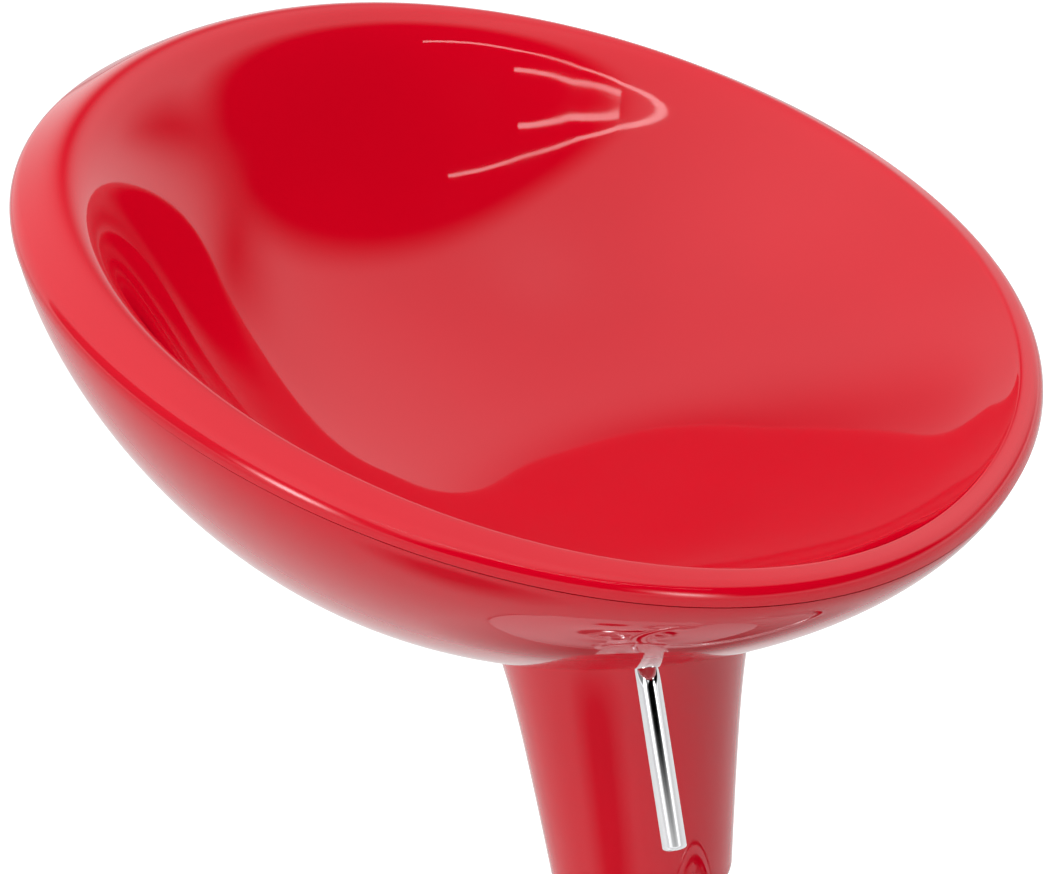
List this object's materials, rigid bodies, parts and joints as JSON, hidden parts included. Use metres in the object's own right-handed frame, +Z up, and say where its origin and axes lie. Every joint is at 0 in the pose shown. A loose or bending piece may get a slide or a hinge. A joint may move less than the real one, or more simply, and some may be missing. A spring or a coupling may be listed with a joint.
{
  "type": "adjustable swivel stool",
  "caption": "Height-adjustable swivel bar stool with a glossy two-shell bucket seat, gas lift, release lever, foot ring and trumpet foot.",
  "frame": {"origin": "on the column's axis at floor level, under the floor ring, seat facing the foot ring at its lowest height", "axes": "+Z up along the column; the sitter faces -Y, so the foot ring reaches towards -Y and the seat's high back towards +Y; the sitter's right is -X"},
  "size_m": [0.456, 0.447, 0.7656],
  "materials": {
    "red_abs": "high-gloss injection-moulded ABS, red",
    "chrome": "polished chrome plate on steel",
    "steel": "machined steel",
    "zinc": "zinc-plated steel",
    "brass": "turned brass",
    "black_steel": "black painted steel",
    "black_plastic": "black moulded nylon",
    "rubber": "black rubber",
    "plywood": "plain plywood"
  },
  "bodies": {
    "base": {"base_floor_ring": "rubber", "base_dish": "chrome", "ballast_plate": "black_steel", "base_hub": "black_steel", "hub_bolt_1": "zinc", "hub_bolt_2": "zinc", "hub_bolt_3": "zinc", "base_collar": "chrome", "column_tube": "chrome", "column_bottom_plate": "steel", "bearing_washer_lower": "steel", "guide_bush": "black_plastic", "footrest_collar": "chrome", "footrest_ring": "chrome", "collar_screw_1": "steel", "collar_screw_2": "steel"},
    "rod": {"piston_rod": "chrome", "rod_clip": "steel", "bearing_washer_upper": "steel", "bump_stop": "rubber", "piston": "steel", "piston_seal": "rubber"},
    "bearing": {"bearing_cage": "steel"},
    "seat": {"gas_cylinder": "chrome", "insert_nut_1": "brass", "insert_nut_2": "brass", "insert_nut_3": "brass", "insert_nut_4": "brass", "lever_pin": "steel", "lift_hub": "steel", "lift_plate": "zinc", "rod_guide": "black_plastic", "seat_insert_board": "plywood", "seat_lower_shell": "red_abs", "seat_screw_1": "zinc", "seat_screw_2": "zinc", "seat_screw_3": "zinc", "seat_screw_4": "zinc", "seat_upper_shell": "red_abs", "stem_cover": "red_abs", "stem_screw_1": "zinc", "stem_screw_2": "zinc", "stem_screw_3": "zinc", "valve_housing": "brass"},
    "lever": {"lever": "chrome"},
    "valve": {"valve_pin": "steel"}
  },
  "joints": [
    {"name": "swivel", "type": "hinge", "parent": "base", "child": "rod", "pos_m": [0, 0, 0.02], "axis": [0, 0, 1], "continuous": true},
    {"name": "bearing_roll", "type": "hinge", "parent": "base", "child": "bearing", "pos_m": [0, 0, 0.02], "axis": [0, 0, 1], "continuous": true},
    {"name": "lift", "type": "slide", "parent": "rod", "child": "seat", "axis": [0, 0, 1], "range_m": [0, 0.21]},
    {"name": "lever_pull", "type": "hinge", "parent": "seat", "child": "lever", "pos_m": [-0.02425, -0.014, 0.541], "axis": [-0.5, 0.866, 0], "range_deg": [0, 5], "stiffness_Nm_per_rad": 2, "springref_deg": -6.88},
    {"name": "valve_press", "type": "slide", "parent": "seat", "child": "valve", "axis": [0, 0, -1], "range_m": [0, 0.003]}
  ],
  "couplings": [
    {"joint": "bearing_roll", "follows": "swivel", "ratio": 0.5},
    {"joint": "valve_press", "follows": "lever_pull", "m_per_rad": 0.028}
  ]
}
